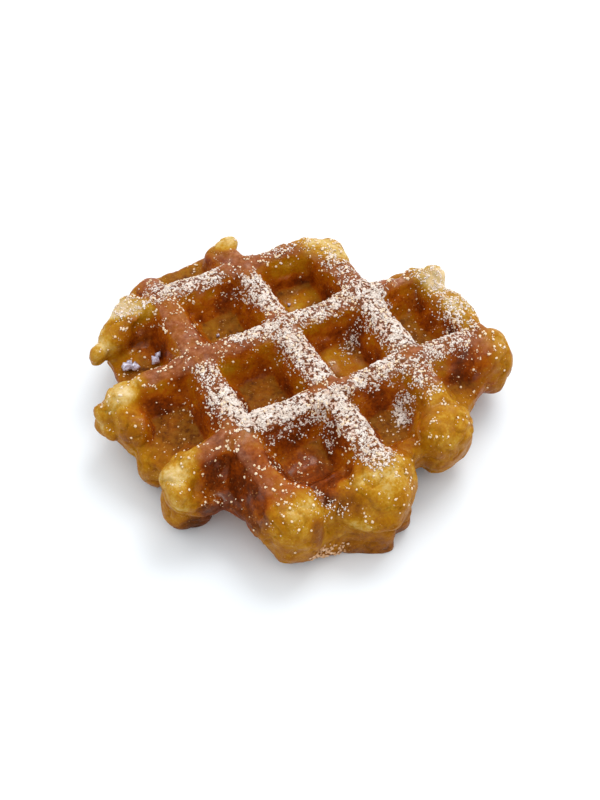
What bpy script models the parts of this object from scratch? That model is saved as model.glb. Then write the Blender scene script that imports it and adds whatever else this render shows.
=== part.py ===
"""A liege waffle: one solid of raised ridges, square pockets on both faces and bulging dough lobes.

Frame: metres, +Z up, the underside ridges lie on z = 0 and the origin is the centre of the
box's underside. X and Y run along the two families of ridges. Sizes below are in millimetres,
measured from the ridge crossing nearest the middle of the waffle.
"""

import math

import bmesh
import bpy
from mathutils import Matrix, Vector, noise

MM = 0.001

PITCH = 25.0            # ridge to ridge, both ways
THICK = 24.0            # underside ridge tops to upper ridge tops
MID = THICK / 2.0
WEB = 4.6               # dough left between an upper and a lower pocket
RIDGE_TOP = 6.4         # width of a ridge at its top
RIDGE_FOOT = 14.6       # width of a ridge where it meets the web
RIDGE_ROUND = 1.7       # rounding of a ridge's upper edges
STATION = 3.0           # distance between the sections along a ridge
WANDER = 0.5            # how far a ridge strays sideways
SAG = 0.7               # how far a ridge top dips between crossings

VOXEL = 0.72            # size of the cells that fuse the dough
SOFTEN = 7              # passes that round every junction
LUMP = 0.55             # height of the broad lumps
LUMP_SIZE = 9.0
CRAG = 0.28             # height of the small crags
CRAG_SIZE = 3.2
TRIANGLES = 10600

# Ridges: stations (along x or y, across, top width, top height).
RIDGES_X = {
    "back": [(-38, 25.2, 5.4, 22.6), (-25, 25.2, 6.6, 24), (0, 25.0, 6.4, 24), (12, 24.8, 5.0, 24),
             (23, 24.0, 5.8, 23.6)],
    "second": [(-49, 0.8, 5.0, 20.5), (-37, 0.2, 6.2, 23.4), (-25, 0, 7, 24), (0, 0, 6.6, 24),
               (25, 0, 6.6, 24), (38, 0.2, 4.8, 23.4), (46, -1.5, 4.6, 22.6)],
    "third": [(-47, -28.0, 4.6, 19.5), (-37, -26.6, 6.4, 23.0), (-25, -25.6, 7.2, 24),
              (0, -25.6, 6.6, 24), (25, -25.8, 6.8, 24), (38, -26.2, 6.2, 23.8), (45, -27.0, 6.0, 22.4)],
    "front": [(-25, -49.5, 5.0, 18), (-10, -49.0, 3.4, 17.0), (2, -49.0, 6.0, 19)],
}
RIDGES_Y = {
    "left": [(33, -25.6, 5.4, 22.6), (25, -25.2, 6.6, 24), (0, -25.0, 7.2, 24), (-25, -25.6, 6.8, 24),
             (-38, -25.9, 7.0, 23.4), (-52, -24.8, 8.2, 20.0)],
    "middle": [(37, -1.6, 4.6, 22.2), (25, -0.4, 6.2, 24), (0, 0, 6.8, 24), (-25, 0.4, 6.8, 24),
               (-40, 0.6, 6.8, 23.8), (-52, 1.6, 8.0, 20.5)],
    "right": [(21, 23.6, 5.8, 23.2), (8, 24.6, 6.4, 23.6), (0, 24.8, 7.2, 24), (-25, 25.0, 7, 24),
              (-38, 24.6, 7.0, 23.2), (-46, 23.4, 8.4, 21.5)],
    "rim": [(-2, 43.8, 4.8, 23.0), (-12, 43.8, 5.6, 22.8), (-22, 45.2, 5.8, 23.0), (-30, 46.4, 5.8, 22.4)],
}

# Plan of the web, the thin floor that every pocket shares, walked clockwise from the back left.
WEB_PLAN = [
    (-45, 20), (-34, 33), (-28, 39), (-16, 41), (-4, 41), (3, 30), (22, 27), (30, 22), (30, 10), (36, 9),
    (47, 5), (50, -6), (53, -20), (48, -34), (35, -41), (26, -49), (13, -49.5), (6, -56), (-12, -54),
    (-28, -55), (-33.5, -44), (-36.5, -37.5), (-45, -33), (-47, -22), (-50, -10), (-50, 2), (-45, 10),
]

# Lobes: centre, half sizes, turn about Z in degrees, lean that lifts the +X end, squareness from the
# side and in plan (2 is an ellipsoid, more is boxier).
LOBES = [
    # where the back ridge runs out to the left and droops
    ((-40.2, 22.4, 17.4), (6.8, 4.4, 4.7), 30, 14, 2.4, 2.2),
    ((-47.2, 18.8, 17.0), (3.4, 2.4, 2.8), 34, 20, 2.2, 2.0),
    ((-39.2, 15.3, 9.2), (5.4, 7.2, 4.9), 6, 0, 2.4, 2.2),
    ((-36.0, 26.2, 10.5), (6.0, 5.0, 9.0), 20, 0, 2.6, 2.2),
    # second ridge, left end, and the rim that closes the pocket below it
    ((-46.6, 0.6, 13.0), (6.2, 5.8, 9.4), -8, 0, 2.8, 2.2),
    ((-47.6, -6.0, 13.0), (4.6, 7.4, 8.0), 4, 0, 2.6, 2.2),
    ((-45.6, -14.6, 8.4), (5.2, 6.6, 6.6), 0, 0, 2.6, 2.2),
    # third ridge, left end: a pale upper lobe over a wider browned lower lobe
    ((-43.4, -27.8, 17.2), (6.0, 4.4, 5.4), 16, 6, 2.6, 2.2),
    ((-46.0, -31.2, 15.6), (3.4, 5.6, 5.4), 6, 0, 2.6, 2.2),
    ((-43.2, -35.4, 13.8), (4.4, 2.6, 3.6), -34, 0, 2.5, 2.2),
    ((-39.6, -37.0, 12.8), (3.8, 2.0, 2.6), -14, 0, 2.5, 2.2),
    ((-43.0, -29.2, 6.4), (6.9, 6.6, 6.8), -10, 0, 2.5, 2.2),
    # left ridge, front end
    ((-23.2, -49.8, 11.4), (7.9, 9.3, 10.8), 0, 0, 3.0, 2.3),
    ((-27.8, -43.4, 9.0), (4.6, 6.2, 8.0), 20, 0, 2.5, 2.2),
    # middle ridge, front end, with the browned flap under it
    ((1.2, -51.6, 12.8), (9.2, 10.4, 9.6), -40, 0, 2.5, 2.6),
    ((-7.0, -50.6, 13.0), (8.8, 4.8, 5.8), -14, 0, 2.6, 2.2),
    ((-5.4, -57.0, 12.8), (8.8, 4.6, 4.0), -36, 0, 2.2, 2.4),
    ((-5.2, -56.3, 0.8), (7.6, 5.2, 10.2), -29.5, 0, 2.8, 5.0),
    ((2.0, -54.8, 5.6), (6.2, 5.2, 7.0), -29.5, 0, 3.0, 2.6),
    ((-15.6, -53.4, 5.0), (6.4, 4.8, 5.4), -8, 0, 3.0, 2.6),
    # right ridge, front end
    ((23.4, -45.4, 12.8), (8.6, 7.6, 9.6), 10, 0, 2.8, 2.3),
    ((12.4, -46.4, 12.0), (6.6, 3.4, 5.0), -4, 0, 2.8, 2.2),
    # right corner
    ((46.9, -29.4, 13.2), (7.4, 7.8, 9.0), -24, 0, 2.7, 2.5),
    ((42.6, -31.0, 12.0), (5.4, 4.0, 7.0), 30, 0, 2.6, 2.2),
    ((46.8, -15.2, 12.6), (4.5, 9.8, 10.0), 4, 0, 2.7, 2.3),
    ((44.6, -3.8, 12.4), (4.4, 5.2, 9.8), 0, 0, 2.8, 2.2),
    # back edge
    ((38.0, 2.6, 10.6), (8.0, 4.6, 9.4), 0, 0, 2.6, 2.2),
    ((29.4, 7.4, 9.6), (4.2, 6.4, 8.8), 0, 0, 2.6, 2.2),
    ((24.2, 19.2, 14.0), (6.4, 8.2, 10.2), 0, 0, 3.2, 2.6),
    ((23.0, 22.4, 6.4), (7.2, 6.8, 6.2), 0, 0, 2.6, 2.2),
    ((12.0, 25.0, 10.0), (7.0, 4.0, 9.0), 0, 0, 2.6, 2.2),
    ((-2.4, 33.6, 13.6), (5.2, 6.4, 8.8), 12, 0, 2.6, 2.3),
    ((-1.0, 32.0, 6.0), (6.0, 6.8, 6.0), 0, 0, 2.6, 2.2),
    ((-26.8, 32.2, 13.4), (6.0, 4.8, 9.2), 18, 0, 2.7, 2.2),
    ((-25.4, 31.6, 6.2), (7.0, 6.4, 6.2), 0, 0, 2.6, 2.2),
    ((-13.6, 33.0, 7.4), (8.4, 6.4, 7.0), 0, 0, 2.6, 2.2),
]

# Flakes, given the same way. Each is a thin crust edge that stands off the dough.
FLAKES = [
    ((-34.4, 25.4, 22.2), (5.4, 4.2, 1.2), 34, 4, 2.6, 2.8),
    ((-37.6, 26.8, 21.8), (2.6, 1.6, 1.0), 20, 6, 2.4, 2.0),
    ((-53.2, 0.4, 15.8), (1.9, 3.4, 2.6), 8, 0, 2.0, 2.0),
    ((-53.0, -3.6, 13.0), (1.8, 2.8, 2.6), 10, 0, 2.0, 2.0),
    ((-53.2, 0.4, 9.8), (2.4, 3.6, 3.8), 8, 0, 2.0, 2.0),
    ((46.6, -2.0, 21.6), (3.2, 3.2, 1.8), -12, 6, 2.4, 2.0),
    ((40.4, 1.2, 22.0), (2.8, 1.8, 1.6), 10, 0, 2.4, 2.0),
    ((20.2, 25.8, 22.6), (1.4, 1.8, 1.4), 0, 0, 2.0, 2.0),
    ((0.0, 36.0, 21.2), (4.0, 2.9, 2.2), 20, 0, 2.2, 2.2),
    ((4.6, -58.2, 8.0), (2.6, 1.8, 1.6), -30, 0, 2.2, 2.0),
]


def clear_scene():
    for item in list(bpy.data.objects):
        bpy.data.objects.remove(item, do_unlink=True)


def between(stations, s):
    """Values at distance s along a list of stations, eased from one station to the next."""
    ordered = sorted(stations)
    if s <= ordered[0][0]:
        return ordered[0][1:]
    for low, high in zip(ordered, ordered[1:]):
        if s <= high[0]:
            t = (s - low[0]) / (high[0] - low[0])
            t = t * t * (3.0 - 2.0 * t)
            return [a + (b - a) * t for a, b in zip(low[1:], high[1:])]
    return ordered[-1][1:]


def ridge_section(top_width, height):
    """Half-sections of a ridge mirrored about the web: (across, z) pairs, anticlockwise."""
    w = top_width / 2.0
    foot = w + (RIDGE_FOOT - RIDGE_TOP) / 2.0
    r = RIDGE_ROUND
    low = 0.0
    right = [
        (w - r, low - 0.35),
        (w - 0.25 * r, low + 0.25 * r),
        (w + 0.3, low + 1.2 * r),
        (foot - 1.6, MID - WEB / 2.0 - 2.6),
        (foot, MID - WEB / 2.0 + 0.4),
        (foot, MID + WEB / 2.0 - 0.4),
        (foot - 1.6, MID + WEB / 2.0 + 2.6),
        (w + 0.3, height - 1.2 * r),
        (w - 0.25 * r, height - 0.25 * r),
        (w - r, height + 0.25),
    ]
    left = [(-a, z) for a, z in reversed(right)]
    return right + left


def add_ridge(bm, stations, along_x, phase):
    """One ridge lofted through its stations, with a slight stray and a sag between crossings."""
    start, end = min(s[0] for s in stations), max(s[0] for s in stations)
    steps = max(2, round((end - start) / STATION))
    rings = []
    for i in range(steps + 1):
        s = start + (end - start) * i / steps
        across, width, height = between(stations, s)
        across += WANDER * noise.noise(Vector((s / 11.0, phase, 0.3)))
        width += 1.3 * noise.noise(Vector((s / 7.0, phase, 5.7)))
        dip = 0.5 - 0.5 * math.cos(2.0 * math.pi * s / PITCH)
        height -= SAG * dip * (0.6 + noise.noise(Vector((s / 9.0, phase, 9.1))))
        ring = []
        for a, z in ridge_section(width, height):
            point = (s, across + a, z) if along_x else (across + a, s, z)
            ring.append(bm.verts.new(point))
        rings.append(ring)
    count = len(rings[0])
    for one, two in zip(rings, rings[1:]):
        for k in range(count):
            n = (k + 1) % count
            bm.faces.new((one[k], one[n], two[n], two[k]))
    bm.faces.new(rings[0])
    bm.faces.new(rings[-1])


def signed_power(value, power):
    return math.copysign(abs(value) ** power, value)


def add_lobe(bm, centre, half, turn, lean, side_square, plan_square, columns=28, rows=14):
    """A rounded lump: a superellipsoid turned about Z and leaned about its own Y."""
    side, plan = 2.0 / side_square, 2.0 / plan_square
    place = (
        Matrix.Translation(centre)
        @ Matrix.Rotation(math.radians(turn), 4, "Z")
        @ Matrix.Rotation(math.radians(-lean), 4, "Y")
    )
    rings = []
    for i in range(1, rows):
        v = math.pi * (i / rows - 0.5)
        ring = []
        for k in range(columns):
            u = 2.0 * math.pi * k / columns
            x = half[0] * signed_power(math.cos(v), side) * signed_power(math.cos(u), plan)
            y = half[1] * signed_power(math.cos(v), side) * signed_power(math.sin(u), plan)
            z = half[2] * signed_power(math.sin(v), side)
            ring.append(bm.verts.new(place @ Vector((x, y, z))))
        rings.append(ring)
    for one, two in zip(rings, rings[1:]):
        for k in range(columns):
            n = (k + 1) % columns
            bm.faces.new((one[k], one[n], two[n], two[k]))
    bottom = bm.verts.new(place @ Vector((0, 0, -half[2])))
    top = bm.verts.new(place @ Vector((0, 0, half[2])))
    for k in range(columns):
        n = (k + 1) % columns
        bm.faces.new((rings[0][n], rings[0][k], bottom))
        bm.faces.new((rings[-1][k], rings[-1][n], top))


def add_web(bm):
    """The floor between the pockets: its plan extruded through the web's thickness."""
    low = [bm.verts.new((x, y, MID - WEB / 2.0)) for x, y in WEB_PLAN]
    high = [bm.verts.new((x, y, MID + WEB / 2.0)) for x, y in WEB_PLAN]
    bm.faces.new(low)
    bm.faces.new(list(reversed(high)))
    for k in range(len(low)):
        n = (k + 1) % len(low)
        bm.faces.new((low[k], high[k], high[n], low[n]))


def raw_dough():
    bm = bmesh.new()
    for number, stations in enumerate(RIDGES_X.values()):
        add_ridge(bm, stations, True, 1.7 + 3.1 * number)
    for number, stations in enumerate(RIDGES_Y.values()):
        add_ridge(bm, stations, False, 20.3 + 2.9 * number)
    for lobe in LOBES + FLAKES:
        add_lobe(bm, *lobe)
    add_web(bm)
    bmesh.ops.recalc_face_normals(bm, faces=bm.faces)
    mesh = bpy.data.meshes.new("waffle")
    bm.to_mesh(mesh)
    bm.free()
    return mesh


def apply_modifiers(item):
    graph = bpy.context.evaluated_depsgraph_get()
    mesh = bpy.data.meshes.new_from_object(item.evaluated_get(graph))
    old = item.data
    item.modifiers.clear()
    item.data = mesh
    bpy.data.meshes.remove(old)


def fuse(item):
    """All pieces become one skin, then every junction is rounded."""
    remesh = item.modifiers.new("fuse", "REMESH")
    remesh.mode = "VOXEL"
    remesh.voxel_size = VOXEL
    remesh.adaptivity = 0.0
    soften = item.modifiers.new("soften", "SMOOTH")
    soften.factor = 0.5
    soften.iterations = SOFTEN
    apply_modifiers(item)


def roughen(item):
    """Broad lumps and small crags, then the underside ridges pressed flat on z = 0."""
    bm = bmesh.new()
    bm.from_mesh(item.data)
    bm.normal_update()
    moves = []
    for vert in bm.verts:
        p = vert.co
        lump = noise.noise(p / LUMP_SIZE) * LUMP
        crag = noise.noise(p / CRAG_SIZE + Vector((7.3, 1.9, 4.1))) * CRAG
        moves.append(vert.normal * (lump + crag))
    for vert, move in zip(bm.verts, moves):
        vert.co += move
        vert.co.z = max(vert.co.z, 0.0)
    bm.to_mesh(item.data)
    bm.free()


def thin_out(item):
    item.data.calc_loop_triangles()
    decimate = item.modifiers.new("thin_out", "DECIMATE")
    decimate.ratio = TRIANGLES / len(item.data.loop_triangles)
    decimate.use_collapse_triangulate = True
    apply_modifiers(item)


def settle(item):
    """Millimetres to metres, the box's underside centred on the origin."""
    bm = bmesh.new()
    bm.from_mesh(item.data)
    for vert in bm.verts:
        if vert.co.z < 0.06:
            vert.co.z = 0.0
    xs = [v.co.x for v in bm.verts]
    ys = [v.co.y for v in bm.verts]
    shift = Vector(((min(xs) + max(xs)) / 2.0, (min(ys) + max(ys)) / 2.0, 0.0))
    print("plan centre in lattice millimetres:", tuple(round(v, 3) for v in shift))
    for vert in bm.verts:
        vert.co = (vert.co - shift) * MM
    bm.to_mesh(item.data)
    bm.free()


def crust_material():
    material = bpy.data.materials.new("baked_dough")
    material.use_nodes = True
    shader = material.node_tree.nodes["Principled BSDF"]
    shader.inputs["Base Color"].default_value = (0.32, 0.12, 0.025, 1.0)
    shader.inputs["Roughness"].default_value = 0.45
    shader.inputs["Metallic"].default_value = 0.0
    return material


def make_waffle():
    item = bpy.data.objects.new("waffle", raw_dough())
    bpy.context.scene.collection.objects.link(item)
    fuse(item)
    roughen(item)
    thin_out(item)
    settle(item)
    item.data.materials.clear()
    item.data.materials.append(crust_material())
    item.data.shade_smooth()
    return item


clear_scene()
make_waffle()
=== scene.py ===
"""A liege waffle as it looks: browned dough with pale bulging lobes, under a scatter of powdered sugar.

Frame: metres, +Z up, the origin under the middle of the waffle. The sizes in the tables are
millimetres, measured from the ridge crossing nearest the middle.
"""

import math

import bmesh
import bpy
import numpy as np
from mathutils import Matrix, Vector, noise


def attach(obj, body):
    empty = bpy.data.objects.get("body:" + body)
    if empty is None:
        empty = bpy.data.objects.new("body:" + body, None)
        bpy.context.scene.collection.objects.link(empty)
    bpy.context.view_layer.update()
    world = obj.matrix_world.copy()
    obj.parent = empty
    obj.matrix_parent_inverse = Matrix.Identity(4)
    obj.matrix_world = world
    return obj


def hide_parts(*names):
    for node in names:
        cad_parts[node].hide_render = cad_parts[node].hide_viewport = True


MM = 0.001
PLAN_CENTRE = (-0.668, -11.276)   # the waffle's middle, from that crossing

PITCH = 25.0            # ridge to ridge, both ways
THICK = 24.0            # underside ridge tops to upper ridge tops
MID = THICK / 2.0
WEB = 4.6               # dough left between an upper and a lower pocket
RIDGE_TOP = 6.4         # width of a ridge at its top
RIDGE_FOOT = 14.6       # width of a ridge where it meets the web
RIDGE_ROUND = 1.7       # rounding of a ridge's upper edges
STATION = 3.0           # distance between the sections along a ridge
WANDER = 0.5            # how far a ridge strays sideways
WIDTH_WANDER = 1.3      # how far its width changes
SAG = 0.7               # how far a ridge top dips between crossings
BEND_IN = 1.6           # a ridge's wall turns into its foot this far in from it,
BEND_UP = 2.6           # and this far from the web

LOBE_COLUMNS = 28       # points round a lobe
LOBE_ROWS = 14          # steps from its bottom to its top

VOXEL = 0.63            # size of the cells that fuse the dough
SOFTEN = 7              # passes that round every junction
LUMP = 0.55             # height of the broad lumps
LUMP_SIZE = 9.0
CRAG = 0.28             # height of the small crags
CRAG_SIZE = 3.2

# Ridges: stations (along x or y, across, top width, top height).
RIDGES_X = {
    "back": [(-38, 25.2, 5.4, 22.6), (-25, 25.2, 6.6, 24), (0, 25.0, 6.4, 24), (12, 24.8, 5.0, 24),
             (23, 24.0, 5.8, 23.6)],
    "second": [(-49, 0.8, 5.0, 20.5), (-37, 0.2, 6.2, 23.4), (-25, 0, 7, 24), (0, 0, 6.6, 24),
               (25, 0, 6.6, 24), (38, 0.2, 4.8, 23.4), (46, -1.5, 4.6, 22.6)],
    "third": [(-47, -28.0, 4.6, 19.5), (-37, -26.6, 6.4, 23.0), (-25, -25.6, 7.2, 24),
              (0, -25.6, 6.6, 24), (25, -25.8, 6.8, 24), (38, -26.2, 6.2, 23.8), (45, -27.0, 6.0, 22.4)],
    "front": [(-25, -49.5, 5.0, 18), (-10, -49.0, 3.4, 17.0), (2, -49.0, 6.0, 19)],
}
RIDGES_Y = {
    "left": [(33, -25.6, 5.4, 22.6), (25, -25.2, 6.6, 24), (0, -25.0, 7.2, 24), (-25, -25.6, 6.8, 24),
             (-38, -25.9, 7.0, 23.4), (-52, -24.8, 8.2, 20.0)],
    "middle": [(37, -1.6, 4.6, 22.2), (25, -0.4, 6.2, 24), (0, 0, 6.8, 24), (-25, 0.4, 6.8, 24),
               (-40, 0.6, 6.8, 23.8), (-52, 1.6, 8.0, 20.5)],
    "right": [(21, 23.6, 5.8, 23.2), (8, 24.6, 6.4, 23.6), (0, 24.8, 7.2, 24), (-25, 25.0, 7, 24),
              (-38, 24.6, 7.0, 23.2), (-46, 23.4, 8.4, 21.5)],
    "rim": [(-2, 43.8, 4.8, 23.0), (-12, 43.8, 5.6, 22.8), (-22, 45.2, 5.8, 23.0), (-30, 46.4, 5.8, 22.4)],
}

# Plan of the web, the thin floor that every pocket shares, walked clockwise from the back left.
WEB_PLAN = [
    (-45, 20), (-34, 33), (-28, 39), (-16, 41), (-4, 41), (3, 30), (22, 27), (30, 22), (30, 10), (36, 9),
    (47, 5), (50, -6), (53, -20), (48, -34), (35, -41), (26, -49), (13, -49.5), (6, -56), (-12, -54),
    (-28, -55), (-33.5, -44), (-36.5, -37.5), (-45, -33), (-47, -22), (-50, -10), (-50, 2), (-45, 10),
]

# Lobes: centre, half sizes, turn about Z in degrees, lean that lifts the +X end, squareness from the
# side and in plan (2 is an ellipsoid, more is boxier).
LOBES = [
    # where the back ridge runs out to the left and droops
    ((-40.2, 22.4, 17.4), (6.8, 4.4, 4.7), 30, 14, 2.4, 2.2),
    ((-47.2, 18.8, 17.0), (3.4, 2.4, 2.8), 34, 20, 2.2, 2.0),
    ((-39.2, 15.3, 9.2), (5.4, 7.2, 4.9), 6, 0, 2.4, 2.2),
    ((-36.0, 26.2, 10.5), (6.0, 5.0, 9.0), 20, 0, 2.6, 2.2),
    # second ridge, left end, and the rim that closes the pocket below it
    ((-46.6, 0.6, 13.0), (6.2, 5.8, 9.4), -8, 0, 2.8, 2.2),
    ((-47.6, -6.0, 13.0), (4.6, 7.4, 8.0), 4, 0, 2.6, 2.2),
    ((-45.6, -14.6, 8.4), (5.2, 6.6, 6.6), 0, 0, 2.6, 2.2),
    # third ridge, left end: a pale upper lobe over a wider browned lower lobe
    ((-43.4, -27.8, 17.2), (6.0, 4.4, 5.4), 16, 6, 2.6, 2.2),
    ((-46.0, -31.2, 15.6), (3.4, 5.6, 5.4), 6, 0, 2.6, 2.2),
    ((-43.2, -35.4, 13.8), (4.4, 2.6, 3.6), -34, 0, 2.5, 2.2),
    ((-39.6, -37.0, 12.8), (3.8, 2.0, 2.6), -14, 0, 2.5, 2.2),
    ((-43.0, -29.2, 6.4), (6.9, 6.6, 6.8), -10, 0, 2.5, 2.2),
    # left ridge, front end
    ((-23.2, -49.8, 11.4), (7.9, 9.3, 10.8), 0, 0, 3.0, 2.3),
    ((-27.8, -43.4, 9.0), (4.6, 6.2, 8.0), 20, 0, 2.5, 2.2),
    # middle ridge, front end, with the browned flap under it
    ((1.2, -51.6, 12.8), (9.2, 10.4, 9.6), -40, 0, 2.5, 2.6),
    ((-7.0, -50.6, 13.0), (8.8, 4.8, 5.8), -14, 0, 2.6, 2.2),
    ((-5.4, -57.0, 12.8), (8.8, 4.6, 4.0), -36, 0, 2.2, 2.4),
    ((-5.2, -56.3, 0.8), (7.6, 5.2, 10.2), -29.5, 0, 2.8, 5.0),
    ((2.0, -54.8, 5.6), (6.2, 5.2, 7.0), -29.5, 0, 3.0, 2.6),
    ((-15.6, -53.4, 5.0), (6.4, 4.8, 5.4), -8, 0, 3.0, 2.6),
    # right ridge, front end
    ((23.4, -45.4, 12.8), (8.6, 7.6, 9.6), 10, 0, 2.8, 2.3),
    ((12.4, -46.4, 12.0), (6.6, 3.4, 5.0), -4, 0, 2.8, 2.2),
    # right corner
    ((46.9, -29.4, 13.2), (7.4, 7.8, 9.0), -24, 0, 2.7, 2.5),
    ((42.6, -31.0, 12.0), (5.4, 4.0, 7.0), 30, 0, 2.6, 2.2),
    ((46.8, -15.2, 12.6), (4.5, 9.8, 10.0), 4, 0, 2.7, 2.3),
    ((44.6, -3.8, 12.4), (4.4, 5.2, 9.8), 0, 0, 2.8, 2.2),
    # back edge
    ((38.0, 2.6, 10.6), (8.0, 4.6, 9.4), 0, 0, 2.6, 2.2),
    ((29.4, 7.4, 9.6), (4.2, 6.4, 8.8), 0, 0, 2.6, 2.2),
    ((24.2, 19.2, 14.0), (6.4, 8.2, 10.2), 0, 0, 3.2, 2.6),
    ((23.0, 22.4, 6.4), (7.2, 6.8, 6.2), 0, 0, 2.6, 2.2),
    ((12.0, 25.0, 10.0), (7.0, 4.0, 9.0), 0, 0, 2.6, 2.2),
    ((-2.4, 33.6, 13.6), (5.2, 6.4, 8.8), 12, 0, 2.6, 2.3),
    ((-1.0, 32.0, 6.0), (6.0, 6.8, 6.0), 0, 0, 2.6, 2.2),
    ((-26.8, 32.2, 13.4), (6.0, 4.8, 9.2), 18, 0, 2.7, 2.2),
    ((-25.4, 31.6, 6.2), (7.0, 6.4, 6.2), 0, 0, 2.6, 2.2),
    ((-13.6, 33.0, 7.4), (8.4, 6.4, 7.0), 0, 0, 2.6, 2.2),
]

# Flakes, given the same way. Each is a thin crust edge that stands off the dough.
FLAKES = [
    ((-34.4, 25.4, 22.2), (5.4, 4.2, 1.2), 34, 4, 2.6, 2.8),
    ((-37.6, 26.8, 21.8), (2.6, 1.6, 1.0), 20, 6, 2.4, 2.0),
    ((-53.2, 0.4, 15.8), (1.9, 3.4, 2.6), 8, 0, 2.0, 2.0),
    ((-53.0, -3.6, 13.0), (1.8, 2.8, 2.6), 10, 0, 2.0, 2.0),
    ((-53.2, 0.4, 9.8), (2.4, 3.6, 3.8), 8, 0, 2.0, 2.0),
    ((46.6, -2.0, 21.6), (3.2, 3.2, 1.8), -12, 6, 2.4, 2.0),
    ((40.4, 1.2, 22.0), (2.8, 1.8, 1.6), 10, 0, 2.4, 2.0),
    ((20.2, 25.8, 22.6), (1.4, 1.8, 1.4), 0, 0, 2.0, 2.0),
    ((0.0, 36.0, 21.2), (4.0, 2.9, 2.2), 20, 0, 2.2, 2.2),
    ((4.6, -58.2, 8.0), (2.6, 1.8, 1.6), -30, 0, 2.2, 2.0),
]

# Plan of the dough that the iron pressed and browned, walked clockwise from the back left.
IRON_PLAN = [
    (-31, 27), (-26, 35), (-18, 42), (-8, 41), (-7, 32), (3, 31), (6, 27), (14, 24), (20, 19), (24, 13),
    (30, 4), (38, 1), (40, -6), (41, -14), (43, -22), (46.5, -26), (47, -33), (40, -38), (31, -34),
    (20, -34), (16, -44), (8, -47), (2, -47), (-5, -46.5), (-12, -49), (-19, -47), (-26, -48), (-34, -44),
    (-40, -39), (-39.5, -32), (-37, -26.5), (-44, -19), (-45, -12), (-44, -4), (-40, 1), (-45, 5),
    (-44, 13), (-40, 17), (-34, 21),
]

# Heights at which a mark sets in and at which it is full.
SKIN_HEIGHT = (20.6, 22.8)    # skin on the ridge tops
FLOOR_HEIGHT = (18.5, 15.0)   # browned floor of a pocket
WALL_HEIGHT = (14.0, 20.5)    # walls that close a pocket round a point

BAKE_KNEE = 0.70        # bake beyond this is eased,
BAKE_SPAN = 0.21        # and never passes it by more than this
WALL_REACH = 16         # how far each point looks for walls round it,
WALL_WAYS = 16          # and in how many directions

# Paler and darker places, two of them painted highlights: from, to, radius, change of bake (below 0 is
# paler).
BAKE_AND_HIGHLIGHT_SPOTS = [
    ((-38.5, 28, 22.5), (-31, 24, 22.8), 5.0, -0.42),
    ((-43, 19, 19), (-39, 16, 10), 6.0, -0.12),
    ((-35, 20, 16), (-33, 12, 17), 4.4, 0.16),
    ((-47, 2, 20), (-44, 1, 22), 6.0, -0.22),
    ((-46, -28, 20), (-47, -35, 16), 4.4, -0.12),
    ((-53.5, 0.4, 16), (-53.2, -3.5, 12), 3.4, -0.22),
    ((-13.5, -53, 17), (-8.1, -49.7, 19), 2.4, -0.14),
    ((-8.1, -49.7, 19), (-2.4, -53, 22), 2.6, -0.14),
    # a painted highlight along the lip above the front flap
    ((-10, -59, 13), (0, -62, 14), 2.6, -0.14),
    ((-44, -34, 4), (-39, -36, 6), 6.5, 0.30),
    ((-1, 35, 23), (2.6, 36, 23), 3.6, -0.22),
    ((-45, -29, 22.5), (-44, -32, 21.5), 4.0, -0.08),
    ((-50, -8.5, 20), (-50, -11, 17), 4.5, 0.14),
    ((-19.5, -57.6, 17), (-19.5, -58, 14), 4.0, 0.26),
    ((-41.7, -38.3, 13.7), (-40, -39, 12), 3.6, 0.20),
    ((-2.9, -40, 21), (-3.5, -34, 19), 4.0, 0.24),
    ((42, -19, 20), (42, -24, 18), 4.0, 0.14),
    ((50, -30, 18), (51, -22, 18), 5.0, -0.20),
    ((44, -14, 23), (44, -22, 22.5), 3.4, -0.26),
    ((-50, 0, 18), (-46, -3, 21), 4.0, -0.16),
    ((47, -28, 22), (48, -33, 21), 3.0, -0.12),
    ((45, 0, 23), (47, -4, 22), 6.5, -0.26),
    ((46, -5, 22.5), (47.5, -16, 21.5), 5.4, -0.12),
    ((42, -5, 22), (42, -9, 21), 3.0, -0.14),
    ((-29, -34, 20), (-30.5, -47, 16), 6.8, 0.34),
    ((-34, -31, 18), (-34, -42, 14), 6.4, 0.32),
    ((-38.5, -26, 21), (-44, -31, 22), 3.6, -0.10),
    ((-14, -38, 15), (-10, -49, 16), 8.0, 0.24),
    ((-21, -36, 22), (-17.5, -45, 21), 4.0, 0.22),
    ((-33, -4, 23), (-28, -9, 22), 4.0, 0.12),
    ((-42, -21, 18), (-38.5, -25, 20), 5.0, -0.26),
    ((22, -42, 20), (22, -47, 18), 5.0, 0.08),
    ((51, -33, 12), (52, -25, 14), 6.0, -0.14),
    ((-14, -8, 17), (-11, -17, 15), 8.0, 0.08),
    # a painted highlight: a golden edge along the top of a pocket wall
    ((-22, -3.2, 20), (-15, -3, 19), 2.8, -0.16),
    ((9, 21.5, 20), (16, 20, 20), 3.5, -0.12),
    ((-50, 12, 14), (-46, 17, 18), 5.0, -0.10),
    ((-12, -27, 20), (-4, -29, 19), 3.4, 0.10),
    ((-39, -6, 17), (-36, -20, 15), 5.0, 0.08),
    ((41, -31, 20), (38, -33, 16), 6.0, 0.12),
    ((13, 16, 19), (20, 4, 18), 4.0, 0.10),
    ((-12, 38, 15), (-20, 38, 15), 5.0, -0.10),
    ((-12, -53, 16.5), (-4, -57, 16), 4.2, 0.14),
    ((-8, -61, 6), (2, -61, 6), 6.4, 0.12),
    ((22, 21, 24), (26, 17, 23), 6.0, -0.22),
    ((-23, -52, 21), (-20, -50, 21), 5.0, -0.12),
    ((2, -52, 22), (4, -50, 22), 5.0, -0.10),
    ((9, 12, 14), (15, 14, 14), 4.0, -0.18),
    ((11, -10, 14), (13, -16, 14), 5.6, -0.16),
    ((-8, 10, 14), (-14, 14, 14), 5.0, -0.10),
]

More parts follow.
